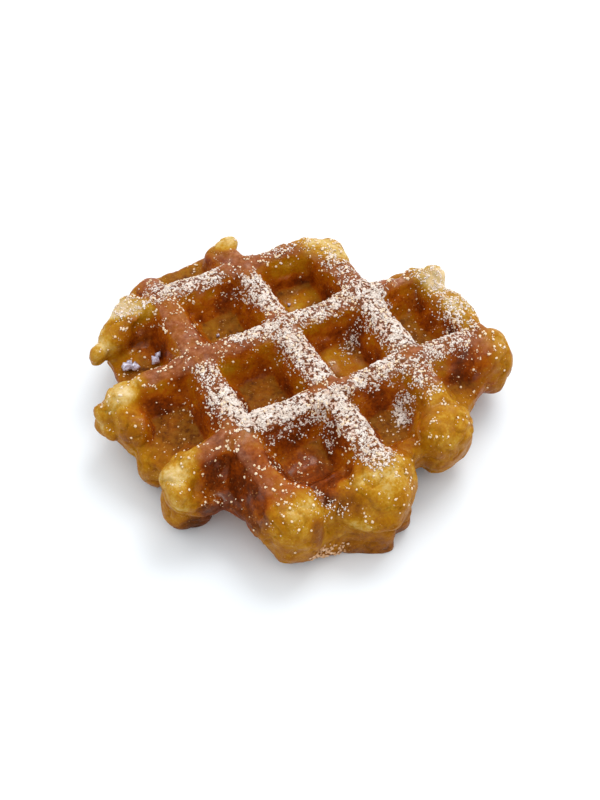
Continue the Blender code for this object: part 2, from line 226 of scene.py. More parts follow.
# Powdered sugar: strips (from, to, half width, cover).
SUGAR_STRIPS = [
    ((-22.5, -24.4), (-10, -26.2), 3.6, 1.0),
    ((-10, -25.8), (2.5, -28.0), 3.1, 1.0),
    ((-25.8, -3), (-24.6, -14), 3.0, 0.42),
    ((-18, -28.4), (-11, -28.6), 2.0, 0.5),
    ((-24.6, -14), (-23.0, -26), 3.7, 1.0),
    ((0.6, -29), (1.4, -38), 4.0, 0.85),
    ((1.4, -38), (2.4, -48), 4.0, 0.6),
    ((-0.8, -4), (1.0, -21), 3.4, 0.85),
    ((-13, 2.2), (-4, 0.6), 2.9, 0.7),
    ((3, 0.8), (24, 0.8), 3.4, 0.6),
    ((25.6, 0), (26.6, -21), 4.6, 0.85),
    ((8, -25.0), (24, -25.8), 3.1, 0.75),
    ((26, -26), (40, -26), 3.1, 0.5),
    ((-1.4, 20), (1.2, 8.8), 3.2, 0.8),
    ((-24, 27.0), (-9, 25.6), 3.0, 0.7),
    ((-17, 30), (-12, 28), 1.4, 0.5),
    ((-36, 26), (-27, 26), 3.6, 0.26),
    ((25, -28), (24.6, -35), 3.4, 0.26),
    ((23, 15), (25.4, 7), 3.0, 0.26),
    ((3, 26), (16, 25), 2.4, 0.22),
    ((44, -1), (47.5, -15), 4.0, 0.24),
    ((43.5, -14), (44, -24), 2.6, 0.36),
    ((-17, -50), (-13, -54), 2.6, 0.12),
    ((16.8, -36.4), (18.0, -33.8), 2.0, 0.9),
    ((17, -8.6), (18.0, -6.8), 1.3, 0.7),
    ((13, -12), (16, -9), 2.4, 0.10),
    ((-3.8, -36), (-3.0, -33), 1.6, 0.5),
    ((38, -28), (46, -2), 2.6, 0.14),
]

# Lumps of pearl sugar that melted into the dough, bluish white as painted glints on the pocket floors: centre
# and radius.
PEARLS_AND_GLINTS = [
    (-41.6, 12.6, 14.8, 2.0), (-39.8, 11.4, 14.8, 1.5), (-40.4, 13.8, 14.6, 1.2),
    (-33.6, 10.8, 15.2, 1.6), (-32.6, 12.2, 15.2, 1.3), (-14.6, 11.6, 14.6, 0.8), (8.2, 12.6, 14.4, 0.7),
]

# Ridge tops that came away from the iron without its skin: from, to, radius.
SKIN_GAPS = [
    ((-24, -36, 23.5), (-18, -48, 22), 6.0),
    ((-23, -3, 21), (-14, -3, 20), 3.0),
]

# Bare crust that the sugar missed: from, to, half width.
SUGAR_GAPS = [
    ((-4, -23.4), (7, -23.2), 1.9),
    ((-33, -21), (-24, -32), 3.2),
    ((-31, 2.6), (-24, 0.6), 3.6),
    ((-3.4, 27), (4, 24.6), 3.0),
    ((-1, 24.4), (0, 22.6), 2.2),
    ((-31, 5), (-29, 20), 4.0),
    ((24, -24.4), (28, -25), 1.6),
]

# Grains: how many, and the range of their radius.
FINE_GRAINS, FINE_RADIUS = 14000, (0.14, 0.30)
CLUMPS, CLUMP_RADIUS = 1500, (0.22, 0.44)
LOOSE_GRAINS, LOOSE_RADIUS = 4200, (0.08, 0.44)
CRUMBS, CRUMB_RADIUS = 150, (0.20, 0.45)
SINK = 0.25             # share of a grain's height that lies under the surface
SEED = 41

# Camera and light, in metres, with the lens in millimetres and the power in watts.
CAMERA_PLACE = (-0.09023, -0.17292, 0.2644)
CAMERA_TARGET = (-0.00722, -0.01372, 0.024)
CAMERA_LENS = 52.37
LIGHT_PLACE = (0.46, 0.30, 0.80)
LIGHT_SIZE = 0.5
LIGHT_POWER = 3.7
SKY_BRIGHT_SIDE = (0.42, 0.58, 0.70)
SKY_STRENGTH = (0.80, 1.35)   # on the dim side and on the bright side
FLOOR_SIZE = 4.0


def between(stations, s):
    """Values at distance s along a list of stations, eased from one station to the next."""
    ordered = sorted(stations)
    if s <= ordered[0][0]:
        return ordered[0][1:]
    for low, high in zip(ordered, ordered[1:]):
        if s <= high[0]:
            t = (s - low[0]) / (high[0] - low[0])
            t = t * t * (3.0 - 2.0 * t)
            return [a + (b - a) * t for a, b in zip(low[1:], high[1:])]
    return ordered[-1][1:]


def ridge_section(top_width, height):
    """A cut across a ridge, from its underside to its top: (across, z) pairs, anticlockwise."""
    w = top_width / 2.0
    foot = w + (RIDGE_FOOT - RIDGE_TOP) / 2.0
    r = RIDGE_ROUND
    web_low, web_high = MID - WEB / 2.0, MID + WEB / 2.0
    right = [
        (w - r, -0.35),
        (w - 0.25 * r, 0.25 * r),
        (w + 0.3, 1.2 * r),
        (foot - BEND_IN, web_low - BEND_UP),
        (foot, web_low + 0.4),
        (foot, web_high - 0.4),
        (foot - BEND_IN, web_high + BEND_UP),
        (w + 0.3, height - 1.2 * r),
        (w - 0.25 * r, height - 0.25 * r),
        (w - r, height + 0.25),
    ]
    left = [(-a, z) for a, z in reversed(right)]
    return right + left


def add_ridge(bm, stations, along_x, phase):
    """One ridge lofted through its stations, with a slight stray and a sag between crossings."""
    start, end = min(s[0] for s in stations), max(s[0] for s in stations)
    steps = max(2, round((end - start) / STATION))
    rings = []
    for i in range(steps + 1):
        s = start + (end - start) * i / steps
        across, width, height = between(stations, s)
        across += WANDER * noise.noise(Vector((s / 11.0, phase, 0.3)))
        width += WIDTH_WANDER * noise.noise(Vector((s / 7.0, phase, 5.7)))
        dip = 0.5 - 0.5 * math.cos(2.0 * math.pi * s / PITCH)
        height -= SAG * dip * (0.6 + noise.noise(Vector((s / 9.0, phase, 9.1))))
        ring = []
        for a, z in ridge_section(width, height):
            point = (s, across + a, z) if along_x else (across + a, s, z)
            ring.append(bm.verts.new(point))
        rings.append(ring)
    count = len(rings[0])
    for one, two in zip(rings, rings[1:]):
        for k in range(count):
            n = (k + 1) % count
            bm.faces.new((one[k], one[n], two[n], two[k]))
    bm.faces.new(rings[0])
    bm.faces.new(rings[-1])


def signed_power(value, power):
    """The size of a value raised to a power, with the value's own sign."""
    return math.copysign(abs(value) ** power, value)


def add_lobe(bm, centre, half, turn, lean, side_square, plan_square):
    """A rounded lump: a superellipsoid turned about Z and leaned about its own Y."""
    side, plan = 2.0 / side_square, 2.0 / plan_square
    place = (
        Matrix.Translation(centre)
        @ Matrix.Rotation(math.radians(turn), 4, "Z")
        @ Matrix.Rotation(math.radians(-lean), 4, "Y")
    )
    rings = []
    for i in range(1, LOBE_ROWS):
        v = math.pi * (i / LOBE_ROWS - 0.5)
        ring = []
        for k in range(LOBE_COLUMNS):
            u = 2.0 * math.pi * k / LOBE_COLUMNS
            x = half[0] * signed_power(math.cos(v), side) * signed_power(math.cos(u), plan)
            y = half[1] * signed_power(math.cos(v), side) * signed_power(math.sin(u), plan)
            z = half[2] * signed_power(math.sin(v), side)
            ring.append(bm.verts.new(place @ Vector((x, y, z))))
        rings.append(ring)
    for one, two in zip(rings, rings[1:]):
        for k in range(LOBE_COLUMNS):
            n = (k + 1) % LOBE_COLUMNS
            bm.faces.new((one[k], one[n], two[n], two[k]))
    bottom = bm.verts.new(place @ Vector((0, 0, -half[2])))
    top = bm.verts.new(place @ Vector((0, 0, half[2])))
    for k in range(LOBE_COLUMNS):
        n = (k + 1) % LOBE_COLUMNS
        bm.faces.new((rings[0][n], rings[0][k], bottom))
        bm.faces.new((rings[-1][k], rings[-1][n], top))


def add_web(bm):
    """The floor between the pockets: its plan extruded through the web's thickness."""
    low = [bm.verts.new((x, y, MID - WEB / 2.0)) for x, y in WEB_PLAN]
    high = [bm.verts.new((x, y, MID + WEB / 2.0)) for x, y in WEB_PLAN]
    bm.faces.new(low)
    bm.faces.new(list(reversed(high)))
    for k in range(len(low)):
        n = (k + 1) % len(low)
        bm.faces.new((low[k], high[k], high[n], low[n]))


def raw_dough():
    """Ridges, lobes, flakes and web, crossing one another and not yet fused."""
    bm = bmesh.new()
    for number, stations in enumerate(RIDGES_X.values()):
        add_ridge(bm, stations, True, 1.7 + 3.1 * number)
    for number, stations in enumerate(RIDGES_Y.values()):
        add_ridge(bm, stations, False, 20.3 + 2.9 * number)
    for lobe in LOBES + FLAKES:
        add_lobe(bm, *lobe)
    add_web(bm)
    bmesh.ops.recalc_face_normals(bm, faces=bm.faces)
    mesh = bpy.data.meshes.new("waffle")
    bm.to_mesh(mesh)
    bm.free()
    return mesh


def apply_modifiers(item):
    """The object's mesh as its modifiers leave it, in place of the one that it had."""
    graph = bpy.context.evaluated_depsgraph_get()
    mesh = bpy.data.meshes.new_from_object(item.evaluated_get(graph))
    old = item.data
    item.modifiers.clear()
    item.data = mesh
    bpy.data.meshes.remove(old)


def fuse(item):
    """All pieces become one skin, then every junction is rounded."""
    remesh = item.modifiers.new("fuse", "REMESH")
    remesh.mode = "VOXEL"
    remesh.voxel_size = VOXEL
    remesh.adaptivity = 0.0
    soften = item.modifiers.new("soften", "SMOOTH")
    soften.factor = 0.5
    soften.iterations = SOFTEN
    apply_modifiers(item)


def roughen(item):
    """Broad lumps and small crags, then the underside ridges pressed flat on z = 0."""
    bm = bmesh.new()
    bm.from_mesh(item.data)
    bm.normal_update()
    moves = []
    for vert in bm.verts:
        p = vert.co
        lump = noise.noise(p / LUMP_SIZE) * LUMP
        crag = noise.noise(p / CRAG_SIZE + Vector((7.3, 1.9, 4.1))) * CRAG
        moves.append(vert.normal * (lump + crag))
    for vert, move in zip(bm.verts, moves):
        vert.co += move
        vert.co.z = max(vert.co.z, 0.0)
    bm.to_mesh(item.data)
    bm.free()


def smooth(low, high, value):
    """An eased step from 0 at low to 1 at high, falling where low is the larger."""
    t = np.clip((value - low) / (high - low), 0.0, 1.0)
    return t * t * (3.0 - 2.0 * t)


def noise_at(points, size, offset):
    """Smooth noise from about -1 to 1 at every point, with features of that size."""
    return np.array([noise.noise(Vector(p) / size + Vector(offset)) for p in points.tolist()])


def outside_of(plan, xy):
    """Distance of plan points from a closed outline, negative inside it."""
    corners = np.array(plan, dtype=float)
    nearest = np.full(len(xy), 1e9)
    inside = np.zeros(len(xy), dtype=bool)
    for a, b in zip(corners, np.roll(corners, -1, axis=0)):
        run = b - a
        t = np.clip(((xy - a) @ run) / (run @ run), 0.0, 1.0)
        nearest = np.minimum(nearest, np.linalg.norm(xy - a - t[:, None] * run, axis=1))
        spans = (a[1] > xy[:, 1]) != (b[1] > xy[:, 1])
        if abs(run[1]) > 1e-9:
            inside ^= spans & (xy[:, 0] < a[0] + (xy[:, 1] - a[1]) * run[0] / run[1])
    return np.where(inside, -nearest, nearest)


def walled_in(co):
    """The lowest of the walls round each point, which is near the full height only in a pocket or on a ridge.

    The walls are read from a map of the heights in 1 mm cells, with a margin round it.
    """
    margin = WALL_REACH + 4.0
    low = co[:, :2].min(axis=0) - margin
    size = (co[:, :2].max(axis=0) + margin - low).astype(int) + 2
    heights = np.zeros(size)
    at = (co[:, :2] - low).astype(int)
    np.maximum.at(heights, (at[:, 0], at[:, 1]), co[:, 2])
    lowest = np.full(len(co), np.inf)
    for k in range(WALL_WAYS):
        angle = 2.0 * math.pi * k / WALL_WAYS
        way = np.array((math.cos(angle), math.sin(angle)))
        highest = np.zeros(len(co))
        for step in range(1, WALL_REACH + 1):
            seen = (co[:, :2] + way * step - low).astype(int)
            highest = np.maximum(highest, heights[seen[:, 0], seen[:, 1]])
        lowest = np.minimum(lowest, highest)
    return lowest


def away_from(points, start, end):
    """Distance of each point from the line between two others."""
    a, b = np.array(start, dtype=float), np.array(end, dtype=float)
    run = b - a
    t = np.clip(((points - a) @ run) / (run @ run), 0.0, 1.0)
    return np.linalg.norm(points - a - t[:, None] * run, axis=1)


def sugar_cover(xy):
    """How thickly the strips of sugar cover each point of the plan, from 0 to 1."""
    cover = np.zeros(len(xy))
    for start, end, half, amount in SUGAR_STRIPS:
        cover = np.maximum(cover, amount * smooth(half + 2.0, half - 2.2, away_from(xy, start, end)))
    for start, end, half in SUGAR_GAPS:
        cover *= smooth(half - 1.0, half + 0.8, away_from(xy, start, end))
    return cover


def mesh_arrays(mesh):
    """Places and normals of a mesh's points."""
    co = np.empty(len(mesh.vertices) * 3)
    mesh.vertices.foreach_get("co", co)
    nor = np.empty(len(mesh.vertices) * 3)
    mesh.vertices.foreach_get("normal", nor)
    return co.reshape(-1, 3), nor.reshape(-1, 3)


def pressed_bake_and_shade(co, depth, steep, broad, drift):
    """Bake of the dough that the iron pressed, in patches, with painted shade that darkens the walls the
    deeper they go.
    """
    scorch = noise_at(co * (1.0, 1.0, 0.5), 5.6, (8.1, 3.3, 2.7))
    patches = 0.16 * smooth(-0.1, 0.5, scorch) - 0.12 * smooth(0.0, 0.5, -scorch)
    # painted shade: the walls darken the deeper they run into a pocket, with a random drift in tone
    darker = 0.18 * depth ** 1.2 + 0.08 * drift
    return 0.62 + 0.07 * broad + 0.05 * drift + steep * darker + steep * patches


def swelled_bake_and_highlight(co, out, broad, small, drift):
    """Bake of the dough that swelled free: darker near the ground, paler far out, and paler near the top as a
    painted highlight.
    """
    foot, crest_highlight = smooth(7.0, 1.0, co[:, 2]), smooth(14.0, 22.5, co[:, 2])
    bake = 0.53 - 0.08 * smooth(0.0, 8.0, out) + 0.12 * broad + 0.06 * small + 0.08 * drift
    # the paler top is a painted highlight
    return bake + (0.26 * foot - 0.10 * crest_highlight)


def bake_marks(co, nor):
    """Marks from 0 to 1 at each point: bake with painted shade and highlights, skin of the iron (coloured
    with a painted sheen), gloss, sugar, pocket floor, and free dough.

    The underside is browned as the top is, so z and up are read there as in a mirror.
    """
    upper = co[:, 2] >= MID
    z = np.where(upper, co[:, 2], THICK - co[:, 2])
    up = np.where(upper, nor[:, 2], -nor[:, 2])
    flipped = co * (1, 1, -1) + (0, 0, THICK)
    walls = np.where(upper, walled_in(co), walled_in(flipped))
    closed = smooth(*WALL_HEIGHT, walls)
    broad = noise_at(co, 7.0, (3.1, 0.7, 8.8))
    small = noise_at(co, 2.4, (11.5, 4.2, 0.9))
    drift = noise_at(co, 13.0, (2.2, 7.1, 4.8))
    out = outside_of(IRON_PLAN, co[:, :2]) + 2.0 * broad + 0.8 * small
    free = np.maximum(smooth(-1.5, 5.0, out), 0.5 * (1.0 - closed) * smooth(-4.0, 1.0, out))
    held = 1.0 - free
    # depth into a pocket, which sets the painted shade on its walls
    depth = np.clip((23.0 - z) / 9.0, 0.0, 1.0)
    steep = smooth(0.93, 0.6, up)
    pressed = pressed_bake_and_shade(co, depth, steep, broad, drift)
    bake = pressed * held + swelled_bake_and_highlight(co, out, broad, small, drift) * free
    floor = smooth(0.62, 0.97, up + 0.14 * small + 0.06 * broad) * smooth(*FLOOR_HEIGHT, z + small)
    # where the ridge-top skin goes, and with it the painted sheen
    top = smooth(*SKIN_HEIGHT, z) * smooth(0.5, 0.85, up)
    skin = top * held * np.clip(0.85 + 0.3 * broad, 0.0, 1.0)
    for start, end, radius, change in BAKE_AND_HIGHLIGHT_SPOTS:
        near = smooth(radius, 0.35 * radius, away_from(co, start, end))
        bake += change * near
        skin *= 1.0 - near * np.clip(-4.0 * change, 0.0, 1.0)
        floor *= 1.0 - near * (change > 0.15 or change < -0.11)
    for start, end, radius in SKIN_GAPS:
        skin *= 1.0 - 0.6 * smooth(radius, 0.35 * radius, away_from(co, start, end))
    gloss = smooth(0.0, 0.45, noise_at(co, 3.6, (0.3, 9.4, 5.5))) * (1.0 - 0.5 * free) * (1.0 - floor)
    cover = sugar_cover(co[:, :2] + noise_at(co, 2.6, (6.6, 2.2, 1.4))[:, None])
    cover *= smooth(0.2, 0.6, nor[:, 2]) * smooth(13.0, 14.0, co[:, 2])
    eased = BAKE_KNEE + BAKE_SPAN * np.tanh((bake - BAKE_KNEE) / BAKE_SPAN)
    bake = np.maximum(np.where(bake > BAKE_KNEE, eased, bake), 0.0)
    floor = floor * held
    return {"bake": bake, "skin": skin, "gloss": gloss, "sugar": cover, "floor": floor, "free": free}


def add_marks(mesh, marks):
    """The marks as values on the mesh's points, which the material reads by name."""
    for name, values in marks.items():
        layer = mesh.attributes.new(name, "FLOAT", "POINT")
        layer.data.foreach_set("value", values.astype(np.float32))


def tri_arrays(mesh):
    """The corners of a mesh's triangles."""
    mesh.calc_loop_triangles()
    tris = np.empty(len(mesh.loop_triangles) * 3, dtype=np.int32)
    mesh.loop_triangles.foreach_get("vertices", tris)
    return tris.reshape(-1, 3)


def scatter(co, nor, tris, weight, count, rng):
    """Random points on the surface, as thick as the weight at the corners says."""
    a, b, c = co[tris[:, 0]], co[tris[:, 1]], co[tris[:, 2]]
    area = np.linalg.norm(np.cross(b - a, c - a), axis=1) / 2.0
    chance = area * weight[tris].mean(axis=1)
    pick = rng.choice(len(tris), size=count, p=chance / chance.sum())
    u, v = rng.random(count), rng.random(count)
    flip = u + v > 1.0
    u[flip], v[flip] = 1.0 - u[flip], 1.0 - v[flip]
    place = a[pick] + u[:, None] * (b[pick] - a[pick]) + v[:, None] * (c[pick] - a[pick])
    n = nor[tris[pick]].mean(axis=1)
    return place, n / np.linalg.norm(n, axis=1)[:, None]


def solid_of(kind):
    """Points and triangles of one grain of radius 1: an eight-sided bead, or a rounder clump."""
    bm = bmesh.new()
    if kind == "grain":
        points = [(1, 0, 0), (0, 1, 0), (-1, 0, 0), (0, -1, 0), (0, 0, 1), (0, 0, -1)]
        verts = [bm.verts.new(p) for p in points]
        for k in range(4):
            bm.faces.new((verts[k], verts[(k + 1) % 4], verts[4]))
            bm.faces.new((verts[(k + 1) % 4], verts[k], verts[5]))
    else:
        bmesh.ops.create_icosphere(bm, subdivisions=1, radius=1.0)
    bm.verts.index_update()
    co = np.array([v.co for v in bm.verts])
    faces = np.array([[v.index for v in f.verts] for f in bm.faces])
    bm.free()
    return co, faces


def put(name, data):
    """A new object in the scene."""
    item = bpy.data.objects.new(name, data)
    bpy.context.scene.collection.objects.link(item)
    return item


def grains(name, kind, place, normal, radius, rng, jitter=0.25, flat=0.8):
    """One joined mesh of small uneven grains, each turned at random and set on the surface."""
    shape, faces = solid_of(kind)
    count = len(place)
    q = rng.normal(size=(count, 4))
    q /= np.linalg.norm(q, axis=1)[:, None]
    w, x, y, z = q.T
    turn = np.stack([
        1 - 2 * (y * y + z * z), 2 * (x * y - z * w), 2 * (x * z + y * w),
        2 * (x * y + z * w), 1 - 2 * (x * x + z * z), 2 * (y * z - x * w),
        2 * (x * z - y * w), 2 * (y * z + x * w), 1 - 2 * (x * x + y * y),
    ], axis=1).reshape(-1, 3, 3)
    local = shape[None] * (1.0 + jitter * rng.uniform(-1, 1, size=(count, len(shape), 1)))
    local = np.einsum("nij,nkj->nki", turn, local) * radius[:, None, None]
    along = np.einsum("nki,ni->nk", local, normal)
    local -= (1.0 - flat) * along[:, :, None] * normal[:, None, :]
    rise = flat * radius * (1.0 - 2.0 * SINK)
    verts = local + place[:, None, :] + rise[:, None, None] * normal[:, None, :]
    verts = (verts.reshape(-1, 3) - (*PLAN_CENTRE, 0.0)) * MM
    verts[:, 2] = np.maximum(verts[:, 2], 0.0)
    index = (faces[None] + (np.arange(count) * len(shape))[:, None, None]).reshape(-1)
    mesh = bpy.data.meshes.new(name)
    mesh.vertices.add(len(verts))
    mesh.vertices.foreach_set("co", verts.ravel().astype(np.float32))
    mesh.loops.add(len(index))
    mesh.loops.foreach_set("vertex_index", index.astype(np.int32))
    mesh.polygons.add(len(index) // 3)
    mesh.polygons.foreach_set("loop_start", np.arange(0, len(index), 3, dtype=np.int32))
    mesh.update(calc_edges=True)
    mesh.validate()
    return put(name, mesh)


class Nodes:
    """A material's nodes, made and linked as they are called for. Sizes are in millimetres."""

    def __init__(self, name):
        self.material = bpy.data.materials.new(name)
        self.material.use_nodes = True
        self.tree = self.material.node_tree
        self.shader = self.tree.nodes["Principled BSDF"]
        self.where = self.tree.nodes.new("ShaderNodeTexCoord").outputs["Object"]

    def feed(self, socket, value):
        """A link into the socket, or a plain value."""
        if isinstance(value, bpy.types.NodeSocket):
            self.tree.links.new(value, socket)
        else:
            socket.default_value = value

    def noise(self, size, detail=3.0, rough=0.55, distortion=0.0):
        """Cloudy noise from 0 to 1, with features of that size."""
        node = self.tree.nodes.new("ShaderNodeTexNoise")
        self.feed(node.inputs["Vector"], self.where)
        node.inputs["Scale"].default_value = 1.0 / (size * MM)
        node.inputs["Detail"].default_value = detail
        node.inputs["Roughness"].default_value = rough
        node.inputs["Distortion"].default_value = distortion
        return node.outputs["Fac"]

    def cells(self, size):
        """Distance from the nearest of scattered points."""
        node = self.tree.nodes.new("ShaderNodeTexVoronoi")
        self.feed(node.inputs["Vector"], self.where)
        node.inputs["Scale"].default_value = 1.0 / (size * MM)
        return node.outputs["Distance"]

    def mark(self, name):
        """One of the marks that bake_marks left on the mesh."""
        node = self.tree.nodes.new("ShaderNodeAttribute")
        node.attribute_name = name
        return node.outputs["Fac"]

    def math(self, kind, a, b, clamp=False):
        """A sum, difference or product of two values."""
        node = self.tree.nodes.new("ShaderNodeMath")
        node.operation = kind
        node.use_clamp = clamp
        self.feed(node.inputs[0], a)
        self.feed(node.inputs[1], b)
        return node.outputs[0]

    def sway(self, value, pattern, amount, clamp=False):
        """The value, raised and lowered by a pattern that swings about a half."""
        swing = self.math("MULTIPLY", self.math("SUBTRACT", pattern, 0.5), amount)
        return self.math("ADD", value, swing, clamp)

    def spread(self, value, low, high, to_low=0.0, to_high=1.0):
        """The value eased from one range to another."""
        node = self.tree.nodes.new("ShaderNodeMapRange")
        node.interpolation_type = "SMOOTHSTEP"
        self.feed(node.inputs["Value"], value)
        ends = {"From Min": low, "From Max": high, "To Min": to_low, "To Max": to_high}
        for name, number in ends.items():
            self.feed(node.inputs[name], number)
        return node.outputs["Result"]

    def ramp(self, value, stops):
        """A colour read from a list of (place, colour) stops."""
        node = self.tree.nodes.new("ShaderNodeValToRGB")
        self.feed(node.inputs["Fac"], value)
        bar = node.color_ramp
        while len(bar.elements) < len(stops):
            bar.elements.new(0.5)
        for element, (place, colour) in zip(bar.elements, stops):
            element.position = place
            element.color = colour
        return node.outputs["Color"]

    def mix(self, share, a, b):
        """Colour a, with that share of colour b."""
        node = self.tree.nodes.new("ShaderNodeMix")
        node.data_type = "RGBA"
        self.feed(node.inputs["Factor"], share)
        self.feed(node.inputs[6], a)
        self.feed(node.inputs[7], b)
        return node.outputs[2]

    def bump(self, height, strength, distance, normal=None):
        """Painted relief, on top of another's where one is given."""
        node = self.tree.nodes.new("ShaderNodeBump")
        node.inputs["Strength"].default_value = strength
        node.inputs["Distance"].default_value = distance * MM
        self.feed(node.inputs["Height"], height)
        if normal is not None:
            self.feed(node.inputs["Normal"], normal)
        return node.outputs["Normal"]

    def set(self, **values):
        """Inputs of the shader, named with _ for each space."""
        for name, value in values.items():
            self.feed(self.shader.inputs[name.replace("_", " ")], value)


def linear(red, green, blue):
    """Linear colour from display values of 0 to 255."""
    parts = [c / 255.0 for c in (red, green, blue)]
    return tuple(p / 12.92 if p <= 0.04045 else ((p + 0.055) / 1.055) ** 2.4 for p in parts) + (1.0,)


def dough_material():
    """Baked dough: cream where it swelled free, gold and amber beyond, and deep brown down the pocket walls,
    where the deepening is painted shade; the ridge-top skin carries a painted sheen.
    """
    n = Nodes("baked_dough")
    grain = n.noise(1.3, 4.0, 0.6)
    blotch = n.noise(4.2, 3.0, 0.55, 0.4)
    speck = n.noise(0.6, 2.0, 0.6)
    sugar, gloss = n.mark("sugar"), n.mark("gloss")
    level = n.sway(n.sway(n.mark("bake"), blotch, 0.52), grain, 0.36)
    level = n.sway(level, speck, 0.26, clamp=True)
    crumb = n.ramp(level, [
        (0.0, linear(216, 192, 146)),
        (0.14, linear(192, 156, 82)),
        (0.28, linear(176, 128, 24)),
        (0.40, linear(164, 107, 4)),
        (0.54, linear(160, 93, 2)),
        (0.68, linear(154, 74, 2)),
        (0.80, linear(126, 51, 2)),
        (0.91, linear(98, 36, 3)),
        (1.0, linear(76, 26, 4)),
    ])
    swelled = n.ramp(level, [
        (0.0, linear(216, 192, 146)),
        (0.14, linear(198, 168, 100)),
        (0.28, linear(180, 134, 38)),
        (0.40, linear(164, 109, 8)),
        (0.55, linear(148, 90, 6)),
        (0.70, linear(126, 70, 9)),
        (0.85, linear(92, 46, 8)),
        (1.0, linear(62, 28, 7)),
    ])
    crumb = n.mix(n.mark("free"), crumb, swelled)
    # ridge-top skin: reddish brown, with paler lilac-tan stops that are a painted sheen
    browned = n.ramp(n.noise(1.6, 4.0, 0.65), [
        (0.3, linear(92, 42, 22)),
        (0.5, linear(128, 72, 46)),
        (0.7, linear(160, 108, 82)),
    ])
    bottom = n.ramp(n.noise(2.0, 4.0, 0.7), [
        (0.35, linear(70, 28, 3)),
        (0.5, linear(114, 64, 4)),
        (0.65, linear(126, 82, 22)),
    ])
    crumb = n.mix(n.math("MULTIPLY", n.mark("floor"), n.spread(blotch, 0.3, 0.65, 0.5, 0.95)), crumb, bottom)
    # the ridge-top skin laid on, with its painted sheen
    colour = n.mix(n.math("MULTIPLY", n.mark("skin"), n.spread(blotch, 0.25, 0.7, 0.7, 1.0)), crumb, browned)
    # specks of sugar all over, then the strips: a dark wet ground with a broken film on it
    dust = n.math("MULTIPLY", n.spread(n.cells(0.8), 0.26, 0.14), n.spread(n.noise(3.0, 2.0), 0.48, 0.62))
    colour = n.mix(n.math("MULTIPLY", dust, 0.45), colour, linear(220, 170, 108))
    colour = n.mix(n.math("MULTIPLY", sugar, 0.85), colour, linear(80, 38, 22))
    film = n.spread(n.sway(n.noise(0.9, 2.0, 0.6), sugar, 0.12), 0.55, 0.60)
    film = n.math("MULTIPLY", n.spread(sugar, 0.05, 0.3), film)
    colour = n.mix(n.math("MULTIPLY", film, 0.85), colour, linear(222, 198, 182))
    rough = n.sway(n.spread(gloss, 0.2, 0.9, 0.52, 0.24), grain, 0.25)
    rough = n.math("ADD", rough, n.math("MULTIPLY", film, 0.4), clamp=True)
    fine = n.bump(speck, 0.6, 0.22)
    broad = n.bump(n.noise(1.9, 4.0, 0.62), 0.5, 0.5, fine)
    pores = n.bump(n.spread(n.cells(1.5), 0.0, 0.34), 0.3, 0.3, broad)
    n.set(Base_Color=colour, Roughness=rough, Normal=pores)
    n.set(Subsurface_Weight=0.12, Subsurface_Radius=(1.0, 0.42, 0.14), Subsurface_Scale=0.0022)
    n.set(IOR=1.36, Specular_IOR_Level=0.28, Specular_Tint=(1.0, 0.68, 0.3, 1.0))
    n.set(Coat_Weight=n.math("MULTIPLY", gloss, 0.4), Coat_Roughness=0.16)
    return n.material


def sugar_material(name, dry):
    """Powdered sugar: off-white where dry is 1, cream and rosy where it is 0 and butter has soaked in."""
    n = Nodes(name)
    shade = n.noise(0.9, 2.0, 0.5)
    colour = n.ramp(n.noise(3.4, 3.0, 0.6), [
        (0.3, linear(218, 188 + 10 * dry, 150 + 32 * dry)),
        (0.5, linear(236, 210 + 12 * dry, 176 + 34 * dry)),
        (0.75, linear(248, 230 + 8 * dry, 208 + 22 * dry)),
    ])
    n.set(Base_Color=colour, Roughness=n.spread(shade, 0.3, 0.7, 0.55, 0.8), Normal=n.bump(shade, 0.3, 0.1))
    n.set(Subsurface_Weight=0.2, Subsurface_Radius=(1.0, 0.9, 0.8), Subsurface_Scale=0.0006)
    return n.material


def crumb_material():
    """Pale crumbs, rosy with sugar."""
    n = Nodes("dough_crumbs")
    colour = n.ramp(n.noise(1.2, 3.0, 0.6), [
        (0.3, linear(186, 132, 78)),
        (0.5, linear(214, 170, 126)),
        (0.7, linear(232, 204, 176)),
    ])
    n.set(Base_Color=colour, Roughness=n.spread(n.noise(0.6), 0.3, 0.7, 0.5, 0.75))
    return n.material


def pearl_glint_material():
    """Melted pearl sugar, wet, in a bluish white that paints a reflection of the light against the browned
    dough.
    """
    n = Nodes("pearl_sugar_and_glints")
    # bluish white: a painted glint
    colour = n.ramp(n.noise(1.0, 2.0, 0.6), [
        (0.35, linear(150, 132, 142)),
        (0.5, linear(196, 192, 214)),
        (0.65, linear(232, 232, 246)),
    ])
    n.set(Base_Color=colour, Roughness=0.18, Normal=n.bump(n.noise(0.7), 0.5, 0.2))
    n.set(Subsurface_Weight=0.25, Subsurface_Radius=(1.0, 1.0, 1.0), Subsurface_Scale=0.001)
    return n.material


def wrinkle(item):
    """Relief finer than the part's own: grainy lumps, and shallow folds where the dough swelled free."""
    co, nor = mesh_arrays(item.data)
    free = smooth(-3.0, 3.0, outside_of(IRON_PLAN, co[:, :2]))
    lump = 0.18 * noise_at(co, 2.1, (4.4, 0.6, 3.9)) + 0.12 * noise_at(co, 1.1, (9.9, 5.1, 0.2))
    swell = 0.9 * noise_at(co * (1.0, 1.0, 0.8), 6.5, (0.4, 3.6, 1.9))
    fold = -0.55 * smooth(0.10, 0.0, np.abs(noise_at(co * (1.0, 1.0, 1.5), 6.0, (2.8, 6.1, 7.7))))
    move = (lump * (1.0 - 0.3 * free) + (fold + swell) * free) * smooth(0.0, 1.2, co[:, 2])
    co += nor * move[:, None]
    co[:, 2] = np.maximum(co[:, 2], 0.0)
    item.data.vertices.foreach_set("co", co.ravel())
    item.data.update()


